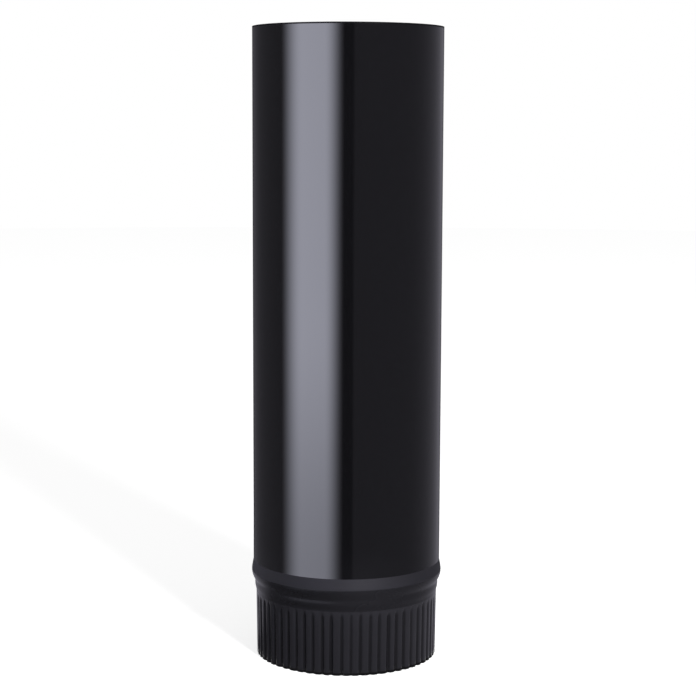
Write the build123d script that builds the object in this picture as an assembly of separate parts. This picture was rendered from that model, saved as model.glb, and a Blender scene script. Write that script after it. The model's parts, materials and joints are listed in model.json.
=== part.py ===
from build123d import *
import os
from math import acos, cos, degrees, radians, sin, tan

# Stove pipe: one length of single-wall flue pipe, rolled from one steel sheet and closed by a lock seam.
# It stands on its crimped end, which pushes into the plain top end of the next length as far as the bead.
# Millimetres and degrees. The pipe's axis is Z, its lower end is at Z = 0 and its seam faces +Y.

# Tube
PIPE_DIAMETER = 150.0  # outside the plain wall
PIPE_LENGTH = 500.0  # from the crimped end to the plain end
SHEET = 0.6  # thickness of the steel

# Crimped spigot, from the lower end upwards. It enters the bore of a like pipe, and each clearance is the
# room all round between that bore and the lands that stand between the grooves.
SPIGOT_LENGTH = 51.0
TIP_CLEARANCE = 2.25  # at the lower end
SPIGOT_CLEARANCE = 1.6  # at the upper end
GROOVE_COUNT = 60
GROOVE_LENGTH = 50.0
GROOVE_TIP_DEPTH = 1.4  # at the lower end
GROOVE_DEPTH = 1.2  # where the runout begins
GROOVE_RUNOUT = 4.0  # height over which a groove fades out at its upper end
GROOVE_FLOOR = 1.4  # width of the groove's flat floor
GROOVE_LEAN = 40.0  # of the groove's flanks, from the radius

# Shoulder and neck above the spigot
SHOULDER_HEIGHT = 6.5
NECK_CLEARANCE = 0.6  # all round, in the bore of a like pipe
NECK_LENGTH = 1.7

# Bead, rolled outwards from the inside
BEAD_RISE = 1.45  # of its crest above the plain wall
BEAD_FOOT_SLOPE = 27.0  # of its lower flank, from the pipe's axis
BEAD_TOP_SLOPE = 12.0  # of its upper flank, from the pipe's axis
BEAD_FOOT_BEND = 5.0  # radius of the bend from the neck
BEAD_CREST_BEND = 12.0  # radius of the crest
BEAD_TOP_BEND = 3.0  # radius of the bend to the plain wall

# Lock seam: both edges of the sheet are folded into hooks, which hold each other outside the wall
SEAM_ANGLE = 90.0
SEAM_LAP = 6.0  # over which the hooks hold each other
FOLD_GAP = 0.2  # left between two layers of sheet
JOGGLE_BEND = 2.0  # radius of the two bends that lift one edge over the other
SEAM_START = 6.0  # height above the bead at which the lock starts
RELIEF_CUT = 1.0  # height of the saw cut that frees the lock from the edges below it
BUTT_GAP = 0.4  # between the sheet's edges where they meet below the lock

CLEAR = 1.0  # how far a cutting shape stands past what it cuts

bore_radius = PIPE_DIAMETER / 2 - SHEET

# Radius to the middle of the sheet
wall_radius = bore_radius + SHEET / 2
neck_radius = bore_radius - NECK_CLEARANCE - SHEET / 2
spigot_radius = bore_radius - SPIGOT_CLEARANCE - SHEET / 2
tip_radius = bore_radius - TIP_CLEARANCE - SHEET / 2


def bent_sheet(start, heading, steps):
    """Section of a sheet whose middle line goes from start along heading (degrees) through its steps.
    A step is one number, the length of a straight run, or a bend's radius and its turn to the left."""
    outline = []
    ends = []
    for side in (SHEET / 2, -SHEET / 2):
        at = Vector(*start) + Vector(side, 0).rotate(Axis.Z, heading + 90)
        along = Vector(1, 0).rotate(Axis.Z, heading)
        ends.append(at)
        for step in steps:
            if isinstance(step, tuple):
                radius, turn = step
                shift = side if turn > 0 else -side
                piece = JernArc(at, along, radius - shift, turn)
            else:
                piece = Line(at, at + along * step)
            outline.append(piece)
            at = piece @ 1
            along = piece % 1
        ends.append(at)
    left_first, left_last, right_first, right_last = ends
    outline.append(Line(left_first, right_first))
    outline.append(Line(left_last, right_last))
    return make_face(outline)


def turned(section, first_angle, last_angle):
    """The section, drawn with X as radius and Y as height, turned about the pipe's axis."""
    ring = revolve(Plane.XZ * section, Axis.Z, last_angle - first_angle)
    return Rot(0, 0, first_angle) * ring


def flank_run(rise, bends, slope):
    """Straight run of a flank of this slope that rises across the sheet between two bends."""
    return (rise - bends * (1 - cos(radians(slope)))) / sin(radians(slope))


def flank_height(run, bends, slope):
    """Height of that run and its two bends along the pipe."""
    return bends * sin(radians(slope)) + run * cos(radians(slope))


# Wall profile in two sections: straight cones below the neck, and a bent sheet from the neck upwards
shoulder_top = SPIGOT_LENGTH + SHOULDER_HEIGHT
spigot_line = [(tip_radius, 0), (spigot_radius, SPIGOT_LENGTH), (neck_radius, shoulder_top)]
spigot_outside = [(radius + SHEET / 2, height) for radius, height in spigot_line]
spigot_inside = [(radius - SHEET / 2, height) for radius, height in spigot_line]
spigot_section = make_face(Polyline(*spigot_outside, *reversed(spigot_inside), close=True))

foot_bends = BEAD_FOOT_BEND + BEAD_CREST_BEND
foot_run = flank_run(wall_radius + BEAD_RISE - neck_radius, foot_bends, BEAD_FOOT_SLOPE)
top_bends = BEAD_TOP_BEND + BEAD_CREST_BEND
top_run = flank_run(BEAD_RISE, top_bends, BEAD_TOP_SLOPE)
bead_crest = shoulder_top + NECK_LENGTH + flank_height(foot_run, foot_bends, BEAD_FOOT_SLOPE)
bead_top = bead_crest + flank_height(top_run, top_bends, BEAD_TOP_SLOPE)

wall_section = bent_sheet(
    (neck_radius, shoulder_top),
    90,
    [
        NECK_LENGTH,
        (BEAD_FOOT_BEND, -BEAD_FOOT_SLOPE),
        foot_run,
        (BEAD_CREST_BEND, BEAD_FOOT_SLOPE + BEAD_TOP_SLOPE),
        top_run,
        (BEAD_TOP_BEND, -BEAD_TOP_SLOPE),
        PIPE_LENGTH - bead_top,
    ],
)

# Places around the pipe: where the edges butt, and where each edge leaves the wall for the lock
layer = SHEET + FOLD_GAP
butt_half = degrees(BUTT_GAP / 2 / wall_radius)
butt_last = SEAM_ANGLE - butt_half
butt_first = SEAM_ANGLE + butt_half
under_edge = butt_last - degrees((layer + SHEET / 2) / wall_radius)
hook_end = under_edge - degrees(SEAM_LAP / wall_radius)

# The joggle lifts the upper edge by three layers. Its two bends touch the wall's circle, each other and
# the lock's outer circle, so their centres and the pipe's axis make a triangle with known sides.
outer_layer = wall_radius + 3 * layer
near_side = wall_radius + JOGGLE_BEND
far_side = outer_layer - JOGGLE_BEND
centres = 2 * JOGGLE_BEND
joggle_span = degrees(acos((near_side**2 + far_side**2 - centres**2) / (2 * near_side * far_side)))
joggle_turn = degrees(acos((near_side**2 + centres**2 - far_side**2) / (2 * near_side * centres)))
over_edge = butt_first + joggle_span

lock_foot = bead_top + SEAM_START
lock_height = PIPE_LENGTH - lock_foot


def seam_hook(angle, heading, bends):
    """One folded edge of the sheet, from where it leaves the wall, as tall as the lock."""
    start = Vector(wall_radius, 0).rotate(Axis.Z, angle)
    return Pos(0, 0, lock_foot) * extrude(bent_sheet(start, heading, bends), lock_height)


over_hook = seam_hook(
    over_edge,
    over_edge - 90,
    [
        (JOGGLE_BEND, joggle_turn),
        (JOGGLE_BEND, -(joggle_turn + joggle_span)),
        (outer_layer, hook_end - butt_first),
        (layer, -180),
        (outer_layer - 2 * layer, under_edge - hook_end),
    ],
)
under_hook = seam_hook(
    under_edge,
    under_edge + 90,
    [
        (layer, -180),
        (wall_radius + 2 * layer, hook_end - under_edge),
    ],
)


def land_radius(height):
    """Outside radius of the lands between the grooves."""
    taper = (TIP_CLEARANCE - SPIGOT_CLEARANCE) / SPIGOT_LENGTH
    return bore_radius - TIP_CLEARANCE + taper * height


def trough(outset):
    """A groove's hollow, opening outwards on the +X side. Its walls stand outset outside the groove's."""
    floor_half = GROOVE_FLOOR / 2 + outset * tan(radians(45 - GROOVE_LEAN / 2))
    runout_foot = GROOVE_LENGTH - GROOVE_RUNOUT
    tip_floor = land_radius(0) - GROOVE_TIP_DEPTH - outset
    foot_floor = land_radius(runout_foot) - GROOVE_DEPTH - outset
    top_floor = land_radius(GROOVE_LENGTH) - outset

    def sloping(first_floor, last_floor, first_height, last_height, past):
        """A straight stretch of the hollow, carried on past its upper end."""
        depth = PIPE_DIAMETER / 2 - first_floor
        mouth_half = floor_half + depth * tan(radians(GROOVE_LEAN))
        corners = [(0, -floor_half), (0, floor_half), (depth, mouth_half), (depth, -mouth_half)]
        section = make_face(Polyline(*corners, close=True))
        path = Vector(last_floor - first_floor, 0, last_height - first_height)
        stretch = path.length * (1 + past / (last_height - first_height))
        return Pos(first_floor, 0, first_height) * extrude(section, stretch, dir=path)

    main = sloping(tip_floor, foot_floor, 0, runout_foot, 0)
    runout = sloping(foot_floor, top_floor, runout_foot, GROOVE_LENGTH, CLEAR)
    return main + runout


# A press turns the sheet in at each groove: the metal that it moves inwards, and the hollow that it leaves
core_corners = [(0, 0), *spigot_line, (0, shoulder_top)]
core = turned(make_face(Polyline(*core_corners, close=True)), 0, 360)
pressed_in = trough(SHEET) & core
groove = trough(0)
pitch = 360 / GROOVE_COUNT
places = [Rot(0, 0, SEAM_ANGLE + (step + 0.5) * pitch) for step in range(GROOVE_COUNT)]

# The rolled sheet, open along the butt joint, with its edges cut back where they fold into the lock
wall = turned(wall_section, butt_first, butt_last + 360)
spigot = turned(spigot_section, butt_first, butt_last + 360)
spigot = spigot + [place * pressed_in for place in places] - [place * groove for place in places]

notch_floor = Pos(wall_radius, lock_foot - RELIEF_CUT)
notch_size = Rectangle(SHEET + 2 * CLEAR, lock_height + RELIEF_CUT + CLEAR, align=(Align.CENTER, Align.MIN))
notch = turned(notch_floor * notch_size, under_edge, over_edge)
stove_pipe = wall - notch + over_hook + under_hook + spigot

os.makedirs("parts", exist_ok=True)
export_step(stove_pipe, "parts/stove_pipe.step")
print("bead crest", round(bead_crest, 2), "bead top", round(bead_top, 2), "lock foot", round(lock_foot, 2))
print("solids", len(stove_pipe.solids()), "volume", round(stove_pipe.volume, 1))
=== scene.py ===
# %% [markdown]
# # A length of black stove pipe
# A stove pipe carries smoke from a stove to the chimney. This one is rolled from a single sheet of thin
# steel: a plain upper end, a straight wall closed by a lock seam at the back, a bead that stops the next
# pipe, and a crimped lower end that pushes into the pipe below. It is black, glossy on the wall and duller
# where it was formed. The lesson folds that sheet as a tinsmith would, then paints it and lights it.

# %% Load the measured pipe
import json
from math import acos, atan, atan2, copysign, cos, degrees, floor, hypot, radians, sin, tan
from random import Random

import bmesh
import bpy
from mathutils import Matrix, Vector


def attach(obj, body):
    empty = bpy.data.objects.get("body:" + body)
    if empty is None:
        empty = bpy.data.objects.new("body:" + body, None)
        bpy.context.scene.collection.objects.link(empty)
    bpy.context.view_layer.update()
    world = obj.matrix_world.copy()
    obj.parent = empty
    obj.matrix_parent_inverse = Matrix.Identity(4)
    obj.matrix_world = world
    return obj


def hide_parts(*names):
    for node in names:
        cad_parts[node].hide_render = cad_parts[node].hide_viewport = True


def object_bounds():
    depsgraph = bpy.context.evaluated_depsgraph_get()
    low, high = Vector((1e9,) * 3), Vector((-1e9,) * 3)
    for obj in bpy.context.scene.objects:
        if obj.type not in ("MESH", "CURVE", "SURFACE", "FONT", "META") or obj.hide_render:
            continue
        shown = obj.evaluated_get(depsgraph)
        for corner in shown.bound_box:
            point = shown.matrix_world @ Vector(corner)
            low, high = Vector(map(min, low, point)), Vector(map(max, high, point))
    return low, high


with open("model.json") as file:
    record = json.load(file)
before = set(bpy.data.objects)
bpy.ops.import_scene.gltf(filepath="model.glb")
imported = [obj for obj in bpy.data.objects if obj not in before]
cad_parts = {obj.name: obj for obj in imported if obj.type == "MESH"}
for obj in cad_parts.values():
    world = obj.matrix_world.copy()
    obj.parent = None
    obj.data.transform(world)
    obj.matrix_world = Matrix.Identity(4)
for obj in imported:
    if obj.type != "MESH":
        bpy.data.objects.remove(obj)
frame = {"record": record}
cad_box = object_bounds()
scene = bpy.context.scene
print("measured pipe from", tuple(cad_box[0]), "to", tuple(cad_box[1]))

# %% [markdown]
# ## Sizes
# The measured pipe already says how long it is, how wide its bore is and how far its crimped end goes in,
# so those are read from it. The rest are the maker's own sizes. All radii below go to the middle of the
# sheet, because a fold keeps its length there, and the thickness is added last, half to each side.

# %% Sizes of the sheet
MM = 0.001
SHEET = 0.6 * MM
NECK_STEP = 1.2 * MM
SPIGOT_STEP = 2.2 * MM

mounts = {mount["name"]: mount["dims"] for mount in frame["record"]["mounts"]}
bore_radius = mounts["upper_socket"]["r_mm"] * MM
spigot_length = mounts["crimped_spigot"]["length_mm"] * MM
pipe_length = cad_box[1].z - cad_box[0].z

wall_radius = bore_radius + SHEET / 2
neck_radius = wall_radius - NECK_STEP
spigot_radius = wall_radius - SPIGOT_STEP
tip_radius = mounts["crimped_spigot"]["r_mm"] * MM - SHEET / 2
print("radius of wall", wall_radius, "neck", neck_radius, "spigot", spigot_radius, "tip", tip_radius)

# %% [markdown]
# ## Folding a sheet
# Everything on this pipe is a sheet that runs straight for a while and then bends round a roller. Blender's
# spin operator does both: with a turn it sweeps the sheet's leading edge round the roller's centre, and
# with no turn and a shift it pushes the edge straight on. One helper that walks along such a path is enough
# for the wall's profile and for the folds of the seam.

# %% A helper that walks along runs and bends
UP = Vector((0, 0, 1))
STAY = Vector((0, 0, 0))


def sweep(bm, leading, centre, turn, rows, shift=STAY):
    """Sweeps the leading edge about an upright line, by a turn in degrees, and returns its new place."""
    swept = bmesh.ops.spin(
        bm, geom=leading, cent=centre, axis=UP, dvec=shift, angle=radians(turn), steps=rows, use_merge=False
    )
    return swept["geom_last"]


def walk(bm, leading, at, heading, steps):
    """Carries the leading edge through its steps. A run is (length, rows), and a bend is (radius, turn to
    the left, rows), where the rows say how many strips of faces it gets."""
    for *shape, rows in steps:
        along = Vector((cos(radians(heading)), sin(radians(heading)), 0))
        if len(shape) == 1:
            leading = sweep(bm, leading, at, 0, rows, along * (shape[0] / rows))
            at = at + along * shape[0]
        else:
            radius, turn = shape
            centre = at + UP.cross(along) * copysign(radius, turn)
            leading = sweep(bm, leading, centre, turn, rows)
            at = centre + Matrix.Rotation(radians(turn), 3, UP) @ (at - centre)
            heading = heading + turn
    return leading, at, heading


print("ready to walk along runs and bends")

# %% [markdown]
# ## The wall's profile
# Seen in section, the wall starts at the tip of the spigot, leans out a little, steps out at a shoulder,
# runs up the neck, swings out over the bead and back, and then goes straight up. A lathe-like profile could
# be a list of points, but runs and bends keep every curve round, and each size stays something a maker can
# set. The profile lies flat at first, with its height along Y. It has more rows where the crimps will end,
# and one narrow row at each rim for a dark band, which at the foot is a painted shadow. The bead rises a
# hair less than the measured one, and the tip is lifted a hundredth of a millimetre, so that the shell
# stays inside the measured pipe's box.

# %% Draw the profile
SHOULDER_HEIGHT = 6.5 * MM
NECK_LENGTH = 1.88 * MM
BEAD_RISE = 1.36 * MM
FOOT_SLOPE = 27.0
TOP_SLOPE = 10.2
FOOT_BEND = 5.0 * MM
CREST_BEND = 12.0 * MM
TOP_BEND = 3.0 * MM
SEAM_START = 6.0 * MM
RELIEF_CUT = 1.0 * MM
TOP_RIM = 1.2 * MM
# The band at the foot is a painted shadow: a darker black where the pipe stands on the floor.
FOOT_SHADOW_BAND = 2.2 * MM
PLAIN_CRIMP = 42.0 * MM
TIP_LIFT = 0.01 * MM


def flank(rise, bends, slope):
    """Straight run of a flank between two bends whose radii add up to bends."""
    return (rise - bends * (1 - cos(radians(slope)))) / sin(radians(slope))


spigot_rise = spigot_radius - tip_radius
spigot_run = hypot(spigot_rise, spigot_length)
lean = degrees(atan(spigot_rise / spigot_length))
shoulder_turn = 2 * degrees(atan((neck_radius - spigot_radius) / SHOULDER_HEIGHT))
shoulder_bend = SHOULDER_HEIGHT / 2 / sin(radians(shoulder_turn))
foot_run = flank(wall_radius + BEAD_RISE - neck_radius, FOOT_BEND + CREST_BEND, FOOT_SLOPE)
top_run = flank(BEAD_RISE, CREST_BEND + TOP_BEND, TOP_SLOPE)

bm = bmesh.new()
tip = Vector((tip_radius, TIP_LIFT, 0))
leading = bmesh.ops.create_vert(bm, co=tip)["vert"]
spigot_steps = [
    (FOOT_SHADOW_BAND, 1),
    (PLAIN_CRIMP - FOOT_SHADOW_BAND, 3),
    (spigot_run - PLAIN_CRIMP, 16),
]
leading, at, heading = walk(bm, leading, tip, 90 - lean, spigot_steps)

foot_steps = [
    (shoulder_bend, -shoulder_turn, 3),
    (shoulder_bend, shoulder_turn, 3),
    (NECK_LENGTH, 2),
    (FOOT_BEND, -FOOT_SLOPE, 4),
    (foot_run, 1),
    (CREST_BEND, FOOT_SLOPE, 5),
]
leading, at, heading = walk(bm, leading, at, 90, foot_steps)
bead_crest = at.y

top_steps = [
    (CREST_BEND, TOP_SLOPE, 3),
    (top_run, 1),
    (TOP_BEND, -TOP_SLOPE, 3),
]
leading, at, heading = walk(bm, leading, at, heading, top_steps)
bead_top = at.y

lock_foot = bead_top + SEAM_START
wall_steps = [
    (SEAM_START - RELIEF_CUT, 1),
    (RELIEF_CUT, 1),
    (pipe_length - lock_foot - TOP_RIM, 6),
    (TOP_RIM, 1),
]
walk(bm, leading, at, 90, wall_steps)
print("profile of", len(bm.verts), "points, bead from", round(bead_crest, 5), "to", round(bead_top, 5))

# %% [markdown]
# ## Rolling the sheet
# The profile stands up and spins round the pipe's axis, as the sheet went round the rolls. It doesn't go
# all the way: at the back the two edges of the sheet meet in a narrow butt gap below the lock seam, and
# above it they stop short, because there each edge leaves the wall for its fold. So the whole profile spins
# between the two folds first, and then only its lower part goes on to the butt gap. One edge is joggled, or
# stepped outwards, over the other. The joggle's two bends and the pipe's axis make a triangle with known
# sides, which gives its angles.

# %% Spin the profile round the axis
SEAM_ANGLE = 90.0
BUTT_GAP = 0.4 * MM
FOLD_GAP = 0.2 * MM
JOGGLE_BEND = 2.0 * MM
CRIMP_COUNT = 60
COLUMNS_PER_CRIMP = 12
OVER_COLUMNS = 6
UNDER_COLUMNS = 2
AXIS = Vector((0, 0, 0))

layer = SHEET + FOLD_GAP
outer_layer = wall_radius + 3 * layer
butt_half = degrees(BUTT_GAP / 2 / wall_radius)
under_span = degrees((layer + SHEET / 2) / wall_radius)

near_side = wall_radius + JOGGLE_BEND
far_side = outer_layer - JOGGLE_BEND
centres = 2 * JOGGLE_BEND
joggle_span = degrees(acos((near_side**2 + far_side**2 - centres**2) / (2 * near_side * far_side)))
joggle_turn = degrees(acos((near_side**2 + centres**2 - far_side**2) / (2 * near_side * centres)))
over_edge = SEAM_ANGLE + butt_half + joggle_span
under_edge = SEAM_ANGLE - butt_half - under_span

bmesh.ops.rotate(bm, verts=bm.verts, cent=AXIS, matrix=Matrix.Rotation(radians(90), 3, "X"))
bmesh.ops.rotate(bm, verts=bm.verts, cent=AXIS, matrix=Matrix.Rotation(radians(over_edge), 3, "Z"))
columns = CRIMP_COUNT * COLUMNS_PER_CRIMP - OVER_COLUMNS - UNDER_COLUMNS
first_edge = list(bm.verts) + list(bm.edges)
last_edge = sweep(bm, first_edge, AXIS, 360 + under_edge - over_edge, columns)


def stretch(edge, low, high):
    """The part of an upright edge between two heights."""
    spare = RELIEF_CUT / 10
    points = {v for v in edge if isinstance(v, bmesh.types.BMVert) and low - spare < v.co.z < high + spare}
    lines = [e for e in edge if isinstance(e, bmesh.types.BMEdge) and points.issuperset(e.verts)]
    return list(points) + lines


relief_foot = lock_foot - RELIEF_CUT
sweep(bm, stretch(first_edge, 0, relief_foot), AXIS, -joggle_span, OVER_COLUMNS)
sweep(bm, stretch(last_edge, 0, relief_foot), AXIS, under_span, UNDER_COLUMNS)
print("rolled sheet of", len(bm.faces), "faces, folds at", round(under_edge, 3), "and", round(over_edge, 3))

# %% [markdown]
# ## The lock seam
# A tinsmith closes such a pipe without welding. One edge of the sheet is folded back outwards into a hook.
# The other is joggled up over it and folded back inwards, so that the two hooks hold each other, and the
# four layers are flattened against the wall. Both folds are walks of the same helper, now in plan, along
# the sheet's upright edges above the relief cut.

# %% Fold the two hooks
SEAM_LAP = 6.0 * MM

lap_span = degrees(SEAM_LAP / wall_radius)
over_reach = butt_half * 2 + under_span + lap_span


def wall_point(angle):
    """A point of the wall's circle in plan."""
    return Matrix.Rotation(radians(angle), 3, UP) @ Vector((wall_radius, 0, 0))


over_steps = [
    (JOGGLE_BEND, joggle_turn, 6),
    (JOGGLE_BEND, -joggle_turn - joggle_span, 6),
    (outer_layer, -over_reach, 6),
    (layer, -180, 10),
    (outer_layer - 2 * layer, lap_span, 5),
]
under_steps = [
    (layer, -180, 10),
    (wall_radius + 2 * layer, -lap_span, 5),
]
over_start = stretch(first_edge, lock_foot, pipe_length)
under_start = stretch(last_edge, lock_foot, pipe_length)
walk(bm, over_start, wall_point(over_edge), over_edge - 90, over_steps)
walk(bm, under_start, wall_point(under_edge), under_edge + 90, under_steps)
bmesh.ops.recalc_face_normals(bm, faces=bm.faces)
free_edges = sum(edge.is_boundary for edge in bm.edges)
print("sheet with its hooks has", len(bm.faces), "faces and", free_edges, "free edges")

# %% [markdown]
# ## The crimps
# Crimping jaws squeeze 60 narrow grooves into the lower end, so that it becomes small enough to enter the
# next pipe. Each groove has a flat floor and leaning flanks, is deepest at the tip and ends bluntly below
# the shoulder. A press moves the sheet's points towards the axis and nothing else, so the code does just
# that. The corners are rounded by a soft minimum, because steel never folds sharp, and each groove is a
# touch deeper, longer or further aside than the next, as hand tools leave it.

# %% Press the crimps
CRIMP_FLOOR = 1.4 * MM
CRIMP_LEAN = 40.0
CRIMP_TIP_DEPTH = 1.4 * MM
CRIMP_DEPTH = 1.2 * MM
CRIMP_LENGTH = 50.0 * MM
CRIMP_RUNOUT = 4.0 * MM
CRIMP_ROUND = 0.5 * MM
UNEVEN_DEPTH = 0.25
UNEVEN_PLACE = 0.06
UNEVEN_LENGTH = 0.6 * MM
HAND_SEED = 60

pitch = 360 / CRIMP_COUNT
floor_half = CRIMP_FLOOR / 2 + SHEET / 2 * tan(radians(45 - CRIMP_LEAN / 2))
hand = Random(HAND_SEED)
crimps = [[hand.uniform(-1, 1) for way in range(3)] for crimp in range(CRIMP_COUNT)]


def soft_min(a, b, blend):
    """The smaller of two lengths, rounded where they are alike."""
    near = max(blend - abs(a - b), 0)
    return min(a, b) - near * near / blend / 4


def press_depth(angle, height):
    """How far the press moves a point of the spigot towards the axis."""
    place = (angle - SEAM_ANGLE) % 360 / pitch
    deeper, longer, moved = crimps[floor(place) % CRIMP_COUNT]
    aside = abs(place % 1 - 0.5 - UNEVEN_PLACE * moved) * radians(pitch) * spigot_radius
    taper = (CRIMP_TIP_DEPTH - CRIMP_DEPTH) / (CRIMP_LENGTH - CRIMP_RUNOUT)
    straight = (CRIMP_TIP_DEPTH - taper * height) * (1 + UNEVEN_DEPTH * deeper)
    fading = (CRIMP_LENGTH + UNEVEN_LENGTH * longer - height) * CRIMP_DEPTH / CRIMP_RUNOUT
    deepest = soft_min(straight, fading, CRIMP_ROUND)
    side = (floor_half - aside) / tan(radians(CRIMP_LEAN)) + deepest
    return max(-soft_min(-soft_min(side, deepest, CRIMP_ROUND), 0, CRIMP_ROUND), 0)


pressed = 0
for point in bm.verts:
    if point.co.z < spigot_length:
        outward = Vector((point.co.x, point.co.y, 0)).normalized()
        depth = press_depth(degrees(atan2(outward.y, outward.x)), point.co.z)
        point.co -= outward * depth
        pressed += depth > 0
print("pressed", pressed, "points into", CRIMP_COUNT, "crimps")

# %% [markdown]
# ## Thickness
# So far the sheet has no thickness. Solidify gives it half to each side and closes the rims. Its result
# becomes the piece's own mesh, so that the sheared rims can be marked sharp by their angle while the bends
# stay smooth.

# %% Give the sheet its thickness
RIM_ANGLE = 50.0

sheet_mesh = bpy.data.meshes.new("pipe_shell")
bm.to_mesh(sheet_mesh)
bm.free()
shell = bpy.data.objects.new("pipe_shell", sheet_mesh)
scene.collection.objects.link(shell)
thickness = shell.modifiers.new("sheet thickness", "SOLIDIFY")
thickness.thickness = SHEET
thickness.offset = 0
thickness.use_even_offset = True
solid_mesh = bpy.data.meshes.new_from_object(shell.evaluated_get(bpy.context.evaluated_depsgraph_get()))
shell.modifiers.clear()
shell.data = solid_mesh
solid_mesh.shade_smooth()
solid_mesh.set_sharp_from_angle(angle=radians(RIM_ANGLE))
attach(shell, "root")
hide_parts("stove_pipe")
triangles = sum(len(face.vertices) - 2 for face in solid_mesh.polygons)
print("pipe_shell has", triangles, "triangles")

# %% [markdown]
# ## Helpers for nodes
# Materials, the sky and the cards are all small node trees. Four helpers keep them short: one adds a node
# and sets or links its inputs, one maps a value from one span to another, one does a sum, and one mixes two
# colours. A fifth starts a material and hands over Object coordinates, which stay fixed to the object, so
# that no pattern slides.

# %% Write the node helpers
def add_node(tree, kind, inputs=(), **settings):
    """Adds a node, with settings on the node and values or links on its inputs, and returns it."""
    made = tree.nodes.new(kind)
    for name, value in settings.items():
        setattr(made, name, value)
    for name, value in dict(inputs).items():
        if isinstance(value, bpy.types.NodeSocket):
            tree.links.new(value, made.inputs[name])
        else:
            made.inputs[name].default_value = value
    return made


def ramp(tree, value, first, last, low, high):
    """Maps a value smoothly from one span to another and returns the socket."""
    inputs = {"Value": value, "From Min": first, "From Max": last, "To Min": low, "To Max": high}
    made = add_node(tree, "ShaderNodeMapRange", inputs, interpolation_type="SMOOTHSTEP")
    return made.outputs["Result"]


def work_out(tree, operation, first, second):
    """Works out one sum, product or the like of two values and returns the socket."""
    return add_node(tree, "ShaderNodeMath", {0: first, 1: second}, operation=operation).outputs["Value"]


def mix_colours(tree, factor, first, second):
    """Mixes two colours by a factor and returns the socket."""
    mix = add_node(tree, "ShaderNodeMix", data_type="RGBA")
    by, low, high = [socket for socket in mix.inputs if socket.enabled]
    tree.links.new(factor, by)
    low.default_value = first
    high.default_value = second
    return [socket for socket in mix.outputs if socket.enabled][0]


def new_material(name):
    """A material with its node tree and the place of each point in the object's own frame."""
    material = bpy.data.materials.new(name)
    material.use_nodes = True
    tree = material.node_tree
    return material, tree, add_node(tree, "ShaderNodeTexCoord").outputs["Object"]


print("ready to build node trees")

# %% [markdown]
# ## Black on black
# The wall has a smooth gloss coat with a faint orange peel, and the rolled sheet under it is never quite
# true, so a long highlight wanders a little. The roller rubbed the bead dull above its crest, and the neck
# kept some of its gloss; its darker shade is painted shade under the bead. The jaws left drawn marks on the
# satin crimps, and a painted shade darkens their groove floors, lighter up to the lands. The two sheared
# rims get a thin dark band, which at the foot is a painted shadow where the pipe meets the floor. So there
# are five cool blacks, each with its own shade, roughness and strength of mirror, and with noise at one or
# two sizes.

# %% Mix the paints
COOL = (1.0, 0.97, 1.2)
PATCH_SIZE = 30.0 * MM
PATCH_DETAIL = 3
PATCH_SPAN = (0.3, 0.7)
BUMP_DETAIL = 1


def black(shade):
    """A cool black of this shade."""
    return (*[shade * part for part in COOL], 1)


def painted_groove_shade(tree, place, floor_shade, land_shade):
    """Painted shade in the groove floors of the crimps, lighter on the lands, by distance from the axis."""
    flatten = {0: place, 1: (1, 1, 0)}
    flat = add_node(tree, "ShaderNodeVectorMath", flatten, operation="MULTIPLY").outputs["Vector"]
    radius = add_node(tree, "ShaderNodeVectorMath", {0: flat}, operation="LENGTH").outputs["Value"]
    height = add_node(tree, "ShaderNodeSeparateXYZ", {"Vector": place}).outputs["Z"]
    taper = work_out(tree, "MULTIPLY", height, -spigot_rise / spigot_length)
    land = tip_radius + SHEET / 2
    risen = ramp(tree, work_out(tree, "ADD", radius, taper), land - CRIMP_DEPTH, land, 0, 1)
    return mix_colours(tree, risen, black(floor_shade), black(land_shade))


def black_paint(name, shade, roughness, mirror, bumps, floor_shade=None):
    """Black paint, uneven in its roughness between two values. Each bump is a size, a height and how many
    times longer than wide it is along the pipe."""
    material, tree, place = new_material(name)
    shader = tree.nodes["Principled BSDF"]
    shader.inputs["Base Color"].default_value = black(shade)
    shader.inputs["Specular IOR Level"].default_value = mirror
    # On the crimps a painted shade darkens the groove floors, lighter up to the lands.
    if floor_shade:
        tree.links.new(painted_groove_shade(tree, place, floor_shade, shade), shader.inputs["Base Color"])

    def noise(size, detail, longer):
        """Noise of this size, drawn out along the pipe."""
        squeeze = {0: place, 1: (1, 1, 1 / longer)}
        squeezed = add_node(tree, "ShaderNodeVectorMath", squeeze, operation="MULTIPLY").outputs["Vector"]
        inputs = {"Vector": squeezed, "Scale": 1 / size, "Detail": detail}
        return add_node(tree, "ShaderNodeTexNoise", inputs).outputs["Fac"]

    uneven = ramp(tree, noise(PATCH_SIZE, PATCH_DETAIL, 1), *PATCH_SPAN, *roughness)
    tree.links.new(uneven, shader.inputs["Roughness"])
    surface = None
    for size, height, longer in bumps:
        relief = {"Height": noise(size, BUMP_DETAIL, longer), "Distance": height}
        bump = add_node(tree, "ShaderNodeBump", relief)
        if surface:
            tree.links.new(surface, bump.inputs["Normal"])
        surface = bump.outputs["Normal"]
    tree.links.new(surface, shader.inputs["Normal"])
    print(name, "has", len(tree.nodes), "nodes")
    return material


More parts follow.
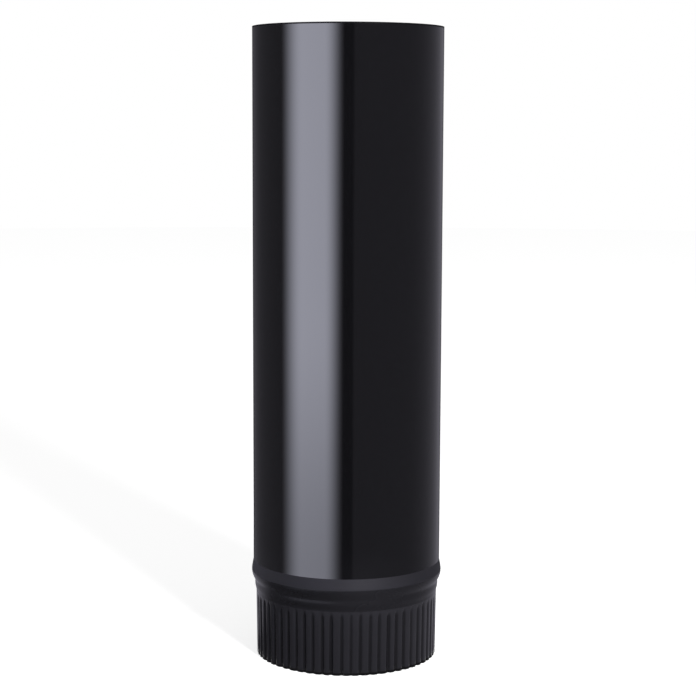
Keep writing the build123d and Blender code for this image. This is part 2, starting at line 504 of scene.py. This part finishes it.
waves = (90.0 * MM, 0.12 * MM, 1)
peel = (1.6 * MM, 0.0025 * MM, 1)
grain = (0.35 * MM, 0.006 * MM, 1)
drawn = (3.0 * MM, 0.05 * MM, 30)
gloss = (0.05, 0.065)
satin = (0.17, 0.21)
half_gloss = (0.24, 0.28)
dull = (0.42, 0.48)
paints = {
    "wall": black_paint("gloss_black", 0.004, gloss, 0.5, [waves, peel]),
    "bead": black_paint("dull_black", 0.021, dull, 0.035, [peel, grain]),
    # The neck's darker shade is painted shade under the bead's overhang.
    "neck": black_paint("half_gloss_black", 0.008, half_gloss, 0.20, [peel]),
    # The crimps' floor_shade is painted shade in their groove floors.
    "crimps": black_paint("satin_black", 0.0155, satin, 0.26, [drawn, peel], floor_shade=0.006),
    # The rims' dark band is, at the foot, a painted shadow where the pipe meets the floor.
    "rim": black_paint("rim_line_and_foot_shadow_black", 0.0035, dull, 0.05, [peel, grain]),
}

# %% [markdown]
# ## Painting by place
# The pipe stays one piece of sheet, so the paints are given to its faces, not to separate pieces. A face
# takes the paint of the zone that its centre lies in. The profile has a row of points at each border, so
# every zone ends on a clean line.

# %% Paint the faces
def zone(place):
    """The zone that a face belongs to, by its centre. The wall's inside is as dull as the bead."""
    outside = hypot(place.x, place.y) > wall_radius
    # The rims take the dark band, which at the foot is a painted shadow.
    if place.z < FOOT_SHADOW_BAND or place.z > pipe_length - TOP_RIM:
        return "rim"
    if place.z > bead_top:
        return "wall" if outside else "bead"
    if place.z > bead_crest:
        return "bead"
    return "neck" if place.z > spigot_length else "crimps"


shell.data.materials.clear()
for paint in paints.values():
    shell.data.materials.append(paint)
order = list(paints)
for face in shell.data.polygons:
    face.material_index = order.index(zone(face.center))
for number, name in enumerate(order):
    print(name, "has", sum(face.material_index == number for face in shell.data.polygons), "faces")

# %% [markdown]
# ## The camera
# The picture was taken from a little below the pipe's top, looking slightly down, with a long lens. The
# place, tilt and lens come from fitting a pinhole camera to the pipe's outline. The picture leans by a
# fifth of a degree, so the camera rolls by that much.

# %% Set up the camera
CAMERA_PLACE = Vector((0.0007, -1.4104, 0.4246))
CAMERA_TILT = 7.162
CAMERA_ROLL = 0.206
LENS_PIXELS = 1780.5
PICTURE_PIXELS = 696.0

camera = bpy.data.objects.new("camera", bpy.data.cameras.new("camera"))
scene.collection.objects.link(camera)
camera.data.sensor_fit = "HORIZONTAL"
camera.data.lens = camera.data.sensor_width * LENS_PIXELS / PICTURE_PIXELS
tilt = Matrix.Rotation(radians(90 - CAMERA_TILT), 4, "X")
roll = Matrix.Rotation(radians(CAMERA_ROLL), 4, "Z")
camera.matrix_world = Matrix.Translation(CAMERA_PLACE) @ tilt @ roll
scene.camera = camera
scene.view_settings.view_transform = "Standard"
print("camera with a lens of", round(camera.data.lens, 1), "mm")

# %% [markdown]
# ## A white studio
# The pipe stands on a white floor in front of white. The floor and the sky are white to the camera and in
# reflections, while the light that they give stays soft and low. Under the pipe the floor doesn't glow, so
# the tube stays dark inside, and the floor keeps a faint shadow.

# %% White floor and sky
FLOOR_REACH = 6.0
FLOOR_SIDES = 64
FLOOR_WHITE = (0.9, 0.9, 0.9, 1)
FLOOR_ROUGHNESS = 0.9
FLOOR_GLOW = 0.70
DARK_INSIDE = 0.9
SKY_LIGHT = 0.30
WHITE = (1, 1, 1, 1)


def seen_directly(tree):
    """1 for rays from the camera and for those that gloss or glass sends on, 0 for the light itself."""
    rays = add_node(tree, "ShaderNodeLightPath").outputs
    two = work_out(tree, "ADD", rays["Is Camera Ray"], rays["Is Glossy Ray"])
    all_three = {0: two, 1: rays["Is Transmission Ray"]}
    return add_node(tree, "ShaderNodeMath", all_three, operation="ADD", use_clamp=True).outputs["Value"]


def stage_piece(name, bm, material):
    """Makes a stage object from a bmesh, which isn't part of the pipe."""
    mesh = bpy.data.meshes.new(name)
    bm.to_mesh(mesh)
    bm.free()
    piece = bpy.data.objects.new(name, mesh)
    scene.collection.objects.link(piece)
    mesh.materials.append(material)
    return piece


floor_paint, tree, place = new_material("white_floor")
floor_shader = tree.nodes["Principled BSDF"]
floor_shader.inputs["Base Color"].default_value = FLOOR_WHITE
floor_shader.inputs["Roughness"].default_value = FLOOR_ROUGHNESS
floor_shader.inputs["Specular IOR Level"].default_value = 0.0
floor_shader.inputs["Emission Color"].default_value = WHITE
from_axis = add_node(tree, "ShaderNodeVectorMath", {0: place}, operation="LENGTH").outputs["Value"]
outside_pipe = ramp(tree, from_axis, tip_radius * DARK_INSIDE, tip_radius, 0, FLOOR_GLOW)
glow = work_out(tree, "MULTIPLY", seen_directly(tree), outside_pipe)
tree.links.new(glow, floor_shader.inputs["Emission Strength"])
floor_bm = bmesh.new()
bmesh.ops.create_circle(floor_bm, cap_ends=True, segments=FLOOR_SIDES, radius=FLOOR_REACH)
stage_piece("floor", floor_bm, floor_paint)

world = bpy.data.worlds.new("white sky")
world.use_nodes = True
scene.world = world
sky = world.node_tree
light = add_node(sky, "ShaderNodeBackground", {"Color": WHITE, "Strength": SKY_LIGHT})
white = add_node(sky, "ShaderNodeBackground", {"Color": WHITE, "Strength": 1.0})
either = {0: seen_directly(sky), 1: light.outputs["Background"], 2: white.outputs["Background"]}
either = add_node(sky, "ShaderNodeMixShader", either)
sky.links.new(either.outputs["Shader"], sky.nodes["World Output"].inputs["Surface"])
print("white floor reaches", FLOOR_REACH, "m, sky light", SKY_LIGHT)

# %% [markdown]
# ## Three lamps
# One lamp stands far off to the right, high enough that the upright wall doesn't mirror it into the camera.
# Two small spots, flattened into slits, lift the front and the left end of the bead, which is too dull to
# show highlights of its own.

# %% Hang the lamps
LAMP_PLACE = Vector((1.32, -2.70, 1.42))
LAMP_SIZE = 0.5
LAMP_POWER = 90.0
FRONT_SPOT_PLACE = Vector((0.35, -1.45, 0.75))
FRONT_SPOT_AIM = Vector((12 * MM, -wall_radius, bead_crest + 4 * MM))
FRONT_SPOT_POWER = 130.0
LEFT_SPOT_PLACE = Vector((-1.45, -0.25, 0.45))
LEFT_SPOT_AIM = Vector((-70 * MM, -26 * MM, bead_crest + 4 * MM))
LEFT_SPOT_POWER = 140.0
SPOT_CONE = 2.4
SPOT_BLEND = 0.5
SPOT_SIZE = 0.02
SPOT_FLATTEN = 0.35


def hang_lamp(name, kind, place, aim, power):
    """Hangs a lamp of this power in watts at a place and turns it to what it is aimed at."""
    lamp = bpy.data.objects.new(name, bpy.data.lights.new(name, kind))
    scene.collection.objects.link(lamp)
    lamp.data.energy = power
    lamp.location = place
    lamp.rotation_mode = "QUATERNION"
    lamp.rotation_quaternion = (aim - place).to_track_quat("-Z", "Y")
    print(name, "of", power, "W at", tuple(place))
    return lamp


def hang_spot(name, place, aim, power):
    """Hangs a spot whose beam is flattened into a slit."""
    spot = hang_lamp(name, "SPOT", place, aim, power)
    spot.data.spot_size = radians(SPOT_CONE)
    spot.data.spot_blend = SPOT_BLEND
    spot.data.shadow_soft_size = SPOT_SIZE
    spot.scale.y = SPOT_FLATTEN


lamp = hang_lamp("lamp", "AREA", LAMP_PLACE, Vector((0, 0, bead_top)), LAMP_POWER)
lamp.data.shape = "DISK"
lamp.data.size = LAMP_SIZE
hang_spot("front_spot", FRONT_SPOT_PLACE, FRONT_SPOT_AIM, FRONT_SPOT_POWER)
hang_spot("left_spot", LEFT_SPOT_PLACE, LEFT_SPOT_AIM, LEFT_SPOT_POWER)

# %% [markdown]
# ## Cards for the reflections
# A glossy black tube shows little but what stands around it, so the bands in the picture are reflections. A
# photographer puts up cards and flags close to the pipe. Here they are surfaces that only glow, swept round
# the axis like the sheet itself. Only reflections see them, so they light nothing else and throw no shadow.

# %% Helpers for the cards
CARD_DISTANCE = 0.33
CARD_SIDES = 96
CLOTH_COLOUR = (0.98, 0.95, 1.1, 1)


def card_paint(name):
    """A material that only glows, with its tree, the place of its points and the node that glows."""
    material, tree, place = new_material(name)
    tree.nodes.remove(tree.nodes["Principled BSDF"])
    shine = add_node(tree, "ShaderNodeEmission", {"Color": CLOTH_COLOUR})
    tree.links.new(shine.outputs["Emission"], tree.nodes["Material Output"].inputs["Surface"])
    return material, tree, place, shine


def card(name, start, shift, material):
    """A card swept round the pipe from a line that goes from its start by a shift, for reflections only."""
    bm = bmesh.new()
    point = bmesh.ops.create_vert(bm, co=start)["vert"]
    sweep(bm, point, AXIS, 0, 1, shift)
    sweep(bm, list(bm.verts) + list(bm.edges), AXIS, 360, CARD_SIDES)
    piece = stage_piece(name, bm, material)
    piece.visible_camera = False
    piece.visible_diffuse = False
    piece.visible_transmission = False
    piece.visible_shadow = False
    print(name, "has", len(piece.data.polygons), "faces")


def band(tree, bearing, rise, fall):
    """1 between two bearings in degrees, with a soft edge at each end."""
    rising = ramp(tree, bearing, radians(rise[0]), radians(rise[1]), 0, 1)
    falling = ramp(tree, bearing, radians(fall[0]), radians(fall[1]), 1, 0)
    return work_out(tree, "MULTIPLY", rising, falling)


print("cards will stand", CARD_DISTANCE, "m from the pipe's axis")

# %% [markdown]
# ## The ring
# One ring of card stands round the pipe, instead of many cards with hard edges between them. Its glow
# changes with the bearing, which is counted from the camera, in degrees to the right: a tall softbox on the
# left that fades towards its foot, a dark slot where the camera is, dim cloth elsewhere, a little lighter
# far to the right, and a narrow light strip right behind the pipe that shows the lock seam.

# %% Put up the ring
CARD_TOP = 0.70
CLOTH_GLOW = 0.178
LEFT_GLOW = 0.145
LEFT_FADE = (-130, -90)
RIGHT_GLOW = 0.165
RIGHT_RISE = (70, 140)
RIGHT_FALL = (140, 170)
SLOT_SHARE = 0.2
SLOT_RISE = (-40, -20)
SLOT_FALL = (4, 9)
BACK_SHARE = 0.15
BACK_START = 0.75
STRIP_GLOW = 1.0
STRIP_START = 0.985
SOFTBOX_COLOUR = (0.86, 0.87, 1.02, 1)
SOFTBOX_GLOW = 7.5
SOFTBOX_RISE = (-78, -49)
SOFTBOX_FALL = (-25, -3)
SOFTBOX_FOOT = 0.58
SOFTBOX_FULL = 0.26

ring_paint, tree, place, shine = card_paint("card_ring")
axes = add_node(tree, "ShaderNodeSeparateXYZ", {"Vector": place}).outputs
to_front = work_out(tree, "MULTIPLY", axes["Y"], -1)
bearing = work_out(tree, "ARCTAN2", axes["X"], to_front)
left_cloth = ramp(tree, bearing, radians(LEFT_FADE[0]), radians(LEFT_FADE[1]), LEFT_GLOW, CLOTH_GLOW)
right_cloth = work_out(tree, "MULTIPLY", band(tree, bearing, RIGHT_RISE, RIGHT_FALL), RIGHT_GLOW)
slot = ramp(tree, band(tree, bearing, SLOT_RISE, SLOT_FALL), 0, 1, 1, SLOT_SHARE)
back = ramp(tree, axes["Y"], CARD_DISTANCE * BACK_START, CARD_DISTANCE, 1, BACK_SHARE)
cloth = work_out(tree, "ADD", left_cloth, right_cloth)
cloth = work_out(tree, "MULTIPLY", cloth, work_out(tree, "MULTIPLY", slot, back))
upright = ramp(tree, axes["Z"], 0, SOFTBOX_FULL, SOFTBOX_GLOW * SOFTBOX_FOOT, SOFTBOX_GLOW)
softbox = work_out(tree, "MULTIPLY", band(tree, bearing, SOFTBOX_RISE, SOFTBOX_FALL), upright)
strip = ramp(tree, axes["Y"], CARD_DISTANCE * STRIP_START, CARD_DISTANCE, 0, STRIP_GLOW)
ring_glow = work_out(tree, "ADD", work_out(tree, "ADD", cloth, softbox), strip)
tree.links.new(ring_glow, shine.inputs["Strength"])
colour = mix_colours(tree, ramp(tree, softbox, 0, 1, 0, 1), CLOTH_COLOUR, SOFTBOX_COLOUR)
tree.links.new(colour, shine.inputs["Color"])
card("card_ring", Vector((0, CARD_DISTANCE, 0)), UP * CARD_TOP, ring_paint)

# %% [markdown]
# ## The floor cloth
# The crimps lean inwards and the neck curves out above them, so both mirror the floor more than the ring. A
# cloth lies there for them, from under the wall out to the ring. Its glow grows to the right, and there is
# some more of it at the back on the left.

# %% Lay the floor cloth
FLOOR_CLOTH_GLOW = (0.10, 0.42)
LEFT_FLOOR_GLOW = 0.35

floor_cloth_paint, tree, place, shine = card_paint("floor_cloth")
axes = add_node(tree, "ShaderNodeSeparateXYZ", {"Vector": place}).outputs
across = ramp(tree, axes["X"], -2 * wall_radius, 2 * wall_radius, *FLOOR_CLOTH_GLOW)
left = ramp(tree, axes["X"], -wall_radius, 0, LEFT_FLOOR_GLOW, 0)
left_back = work_out(tree, "MULTIPLY", left, ramp(tree, axes["Y"], 0, wall_radius, 0, 1))
tree.links.new(work_out(tree, "ADD", across, left_back), shine.inputs["Strength"])
outwards = Vector((0, CARD_DISTANCE - wall_radius, 0))
card("floor_cloth", Vector((0, wall_radius, SHEET)), outwards, floor_cloth_paint)
